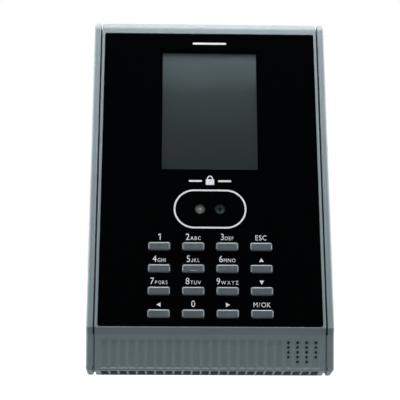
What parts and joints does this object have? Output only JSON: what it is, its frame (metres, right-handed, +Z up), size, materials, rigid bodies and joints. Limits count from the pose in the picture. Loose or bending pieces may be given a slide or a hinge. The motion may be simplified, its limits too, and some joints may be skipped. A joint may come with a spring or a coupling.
{
  "type": "wall access terminal",
  "caption": "Wall-mounted access terminal with a keypad, a small screen, a twin-lens face camera, a speaker and a hook-on wall plate.",
  "frame": {"origin": "middle of the wall plate's back face, on the wall and level with half the terminal's height", "axes": "+Y into the wall, square to the wall plate; +Z up, along the terminal's longest side; +X to the viewer's right"},
  "size_m": [0.1082, 0.0713, 0.1611],
  "materials": {
    "shell": "satin moulded grey, fine texture",
    "rear_shell": "fine moulded texture",
    "panel": "polished acrylic, printed black behind",
    "screen": "unlit display behind the panel",
    "key": "silver lacquer on moulded caps",
    "lens": "coated lens",
    "lamp": "infrared-passing tint",
    "black_plastic": "moulded",
    "silicone": "soft silicone",
    "board": "solder-masked laminate",
    "steel": "zinc plated",
    "heat_sink": "black anodised",
    "terminal": "moulded",
    "relay": "moulded case",
    "foam": "closed-cell foam",
    "plunger": "nylon",
    "ribbon": "polyimide film"
  },
  "bodies": {
    "terminal": {"front_cover": "shell", "left_cheek": "shell", "right_cheek": "shell", "rear_cover": "rear_shell", "front_panel": "panel", "screen_glass": "screen", "left_lens": "lens", "right_lens": "lens", "left_infrared_lamp": "lamp", "right_infrared_lamp": "lamp", "camera_holder": "black_plastic", "left_lens_barrel": "black_plastic", "right_lens_barrel": "black_plastic", "coin_cell_holder": "black_plastic", "speaker": "black_plastic", "tamper_switch": "black_plastic", "keypad_mat": "silicone", "keypad_board": "board", "card_reader_board": "board", "camera_board": "board", "main_board": "board", "screen_tray": "steel", "network_jack": "steel", "coin_cell": "steel", "left_board_screw": "steel", "right_board_screw": "steel", "wall_plate": "steel", "lock_screw": "steel", "lower_left_case_screw": "steel", "lower_right_case_screw": "steel", "upper_left_case_screw": "steel", "upper_right_case_screw": "steel", "heat_sink": "heat_sink", "power_terminal": "terminal", "lock_terminal": "terminal", "door_relay": "relay", "speaker_gasket": "foam", "screen_cable": "ribbon", "keypad_cable": "ribbon"},
    "key_1_button": {"key_1": "key"},
    "key_2_button": {"key_2": "key"},
    "key_3_button": {"key_3": "key"},
    "key_escape_button": {"key_escape": "key"},
    "key_4_button": {"key_4": "key"},
    "key_5_button": {"key_5": "key"},
    "key_6_button": {"key_6": "key"},
    "key_up_button": {"key_up": "key"},
    "key_7_button": {"key_7": "key"},
    "key_8_button": {"key_8": "key"},
    "key_9_button": {"key_9": "key"},
    "key_down_button": {"key_down": "key"},
    "key_left_button": {"key_left": "key"},
    "key_0_button": {"key_0": "key"},
    "key_right_button": {"key_right": "key"},
    "key_ok_button": {"key_ok": "key"},
    "tamper_button": {"tamper_plunger": "plunger"}
  },
  "joints": [
    {"name": "key_1_press", "type": "slide", "parent": "terminal", "child": "key_1_button", "axis": [0, 0.9455, -0.3256], "range_m": [0, 0.0008], "stiffness_N_per_m": 400, "springref_m": -0.001},
    {"name": "key_2_press", "type": "slide", "parent": "terminal", "child": "key_2_button", "axis": [0, 0.9455, -0.3256], "range_m": [0, 0.0008], "stiffness_N_per_m": 400, "springref_m": -0.001},
    {"name": "key_3_press", "type": "slide", "parent": "terminal", "child": "key_3_button", "axis": [0, 0.9455, -0.3256], "range_m": [0, 0.0008], "stiffness_N_per_m": 400, "springref_m": -0.001},
    {"name": "key_escape_press", "type": "slide", "parent": "terminal", "child": "key_escape_button", "axis": [0, 0.9455, -0.3256], "range_m": [0, 0.0008], "stiffness_N_per_m": 400, "springref_m": -0.001},
    {"name": "key_4_press", "type": "slide", "parent": "terminal", "child": "key_4_button", "axis": [0, 0.9455, -0.3256], "range_m": [0, 0.0008], "stiffness_N_per_m": 400, "springref_m": -0.001},
    {"name": "key_5_press", "type": "slide", "parent": "terminal", "child": "key_5_button", "axis": [0, 0.9455, -0.3256], "range_m": [0, 0.0008], "stiffness_N_per_m": 400, "springref_m": -0.001},
    {"name": "key_6_press", "type": "slide", "parent": "terminal", "child": "key_6_button", "axis": [0, 0.9455, -0.3256], "range_m": [0, 0.0008], "stiffness_N_per_m": 400, "springref_m": -0.001},
    {"name": "key_up_press", "type": "slide", "parent": "terminal", "child": "key_up_button", "axis": [0, 0.9455, -0.3256], "range_m": [0, 0.0008], "stiffness_N_per_m": 400, "springref_m": -0.001},
    {"name": "key_7_press", "type": "slide", "parent": "terminal", "child": "key_7_button", "axis": [0, 0.9455, -0.3256], "range_m": [0, 0.0008], "stiffness_N_per_m": 400, "springref_m": -0.001},
    {"name": "key_8_press", "type": "slide", "parent": "terminal", "child": "key_8_button", "axis": [0, 0.9455, -0.3256], "range_m": [0, 0.0008], "stiffness_N_per_m": 400, "springref_m": -0.001},
    {"name": "key_9_press", "type": "slide", "parent": "terminal", "child": "key_9_button", "axis": [0, 0.9455, -0.3256], "range_m": [0, 0.0008], "stiffness_N_per_m": 400, "springref_m": -0.001},
    {"name": "key_down_press", "type": "slide", "parent": "terminal", "child": "key_down_button", "axis": [0, 0.9455, -0.3256], "range_m": [0, 0.0008], "stiffness_N_per_m": 400, "springref_m": -0.001},
    {"name": "key_left_press", "type": "slide", "parent": "terminal", "child": "key_left_button", "axis": [0, 0.9455, -0.3256], "range_m": [0, 0.0008], "stiffness_N_per_m": 400, "springref_m": -0.001},
    {"name": "key_0_press", "type": "slide", "parent": "terminal", "child": "key_0_button", "axis": [0, 0.9455, -0.3256], "range_m": [0, 0.0008], "stiffness_N_per_m": 400, "springref_m": -0.001},
    {"name": "key_right_press", "type": "slide", "parent": "terminal", "child": "key_right_button", "axis": [0, 0.9455, -0.3256], "range_m": [0, 0.0008], "stiffness_N_per_m": 400, "springref_m": -0.001},
    {"name": "key_ok_press", "type": "slide", "parent": "terminal", "child": "key_ok_button", "axis": [0, 0.9455, -0.3256], "range_m": [0, 0.0008], "stiffness_N_per_m": 400, "springref_m": -0.001},
    {"name": "tamper_press", "type": "slide", "parent": "terminal", "child": "tamper_button", "axis": [0, -1, 0], "range_m": [0, 0.0015], "stiffness_N_per_m": 300, "springref_m": -0.0015}
  ]
}
